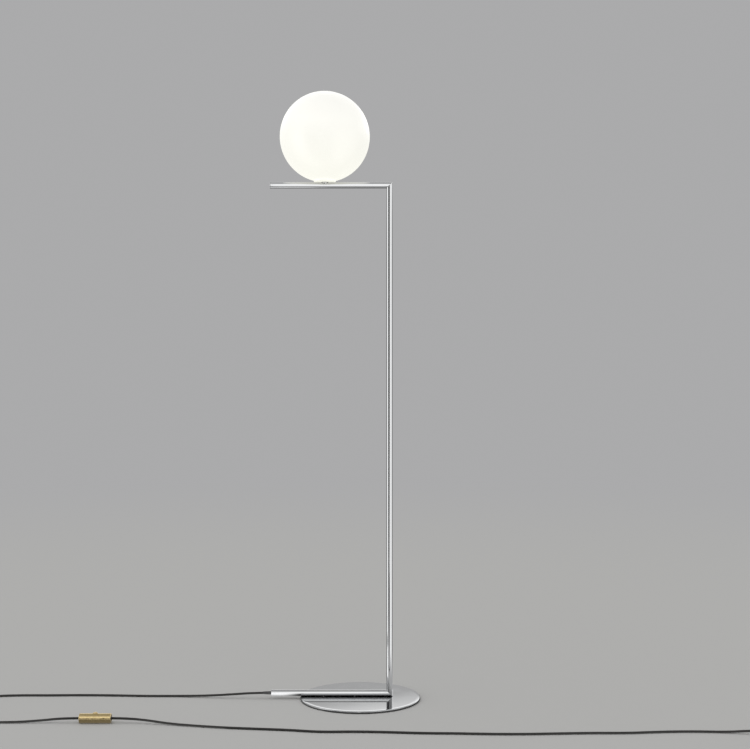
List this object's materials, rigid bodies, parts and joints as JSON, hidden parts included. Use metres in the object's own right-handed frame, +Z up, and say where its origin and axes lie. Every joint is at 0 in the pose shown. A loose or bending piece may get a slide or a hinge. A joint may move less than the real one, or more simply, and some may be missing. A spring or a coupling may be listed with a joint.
{
  "type": "globe floor lamp",
  "caption": "Floor lamp with an opal glass globe balanced on the end arm of a slim mitred chrome tube frame on a round base, with an inline dimmer and plug.",
  "frame": {"origin": "centre of the round base on the floor, at the underside of its pad", "axes": "+Z up, +X from the open side of the frame towards the pole, +Y away from the cord that lies in front"},
  "size_m": [1.7853, 0.4377, 1.35],
  "materials": {
    "chrome": "mirror-bright plating",
    "zinc_steel": "zinc-plated steel",
    "spring_steel": "spring steel",
    "black_pad": "matt black foam rubber",
    "black_bush": "satin black moulded plastic",
    "lead_sheath": "smooth inner sheath",
    "cord_black": "satin black cord sheath",
    "opal_glass": "lit opal glass, satin",
    "frosted_glass": "frosted bulb glass",
    "silicone": "translucent silicone",
    "ceramic": "unglazed white ceramic",
    "nickel": "nickel-plated brass",
    "brass": "satin turned brass",
    "board": "circuit board laminate",
    "terminal_plastic": "pale terminal plastic",
    "choke": "wound copper wire",
    "plug_black": "satin black moulded plug"
  },
  "bodies": {
    "lamp_frame": {"base_disc": "chrome", "base_pad": "black_pad", "base_screws": "zinc_steel", "foot_nut_bar": "zinc_steel", "foot_tube": "chrome", "foot_cord_bush": "black_bush", "pole": "chrome", "upper_arm": "chrome", "arm_end_cap": "chrome", "inner_lead": "lead_sheath", "saddle_boss": "chrome", "stem": "zinc_steel", "stem_nuts": "zinc_steel", "gallery": "chrome", "gallery_gasket": "silicone", "gallery_springs": "spring_steel", "spring_rivets": "spring_steel", "holder_bracket": "zinc_steel", "lamp_holder": "ceramic", "holder_contacts": "nickel", "holder_screws": "zinc_steel", "lamp_lead": "cord_black", "dimmer_housing": "brass", "dimmer_lamp_cap": "brass", "dimmer_plug_cap": "brass", "dimmer_bushes": "black_bush", "dimmer_board": "board", "dimmer_terminals": "terminal_plastic", "dimmer_switch": "black_bush", "dimmer_choke": "choke", "dimmer_spring": "spring_steel", "plug_lead": "cord_black", "plug_body": "plug_black", "plug_pins": "nickel", "plug_sleeves": "plug_black"},
    "glass_globe": {"globe": "opal_glass"},
    "bulb": {"bulb_base": "ceramic", "bulb_envelope": "frosted_glass", "bulb_pins": "nickel"},
    "push_button": {"dimmer_button": "brass"}
  },
  "joints": [
    {"name": "globe_lift", "type": "slide", "parent": "lamp_frame", "child": "glass_globe", "axis": [0, 0, 1], "range_m": [0, 0.13]},
    {"name": "bulb_pull", "type": "slide", "parent": "lamp_frame", "child": "bulb", "axis": [0, 0, 1], "range_m": [0, 0.014]},
    {"name": "button_press", "type": "slide", "parent": "lamp_frame", "child": "push_button", "axis": [0, 0, -1], "range_m": [0, 0.002], "stiffness_N_per_m": 400, "springref_m": -0.002, "deforming": ["dimmer_spring"]}
  ]
}
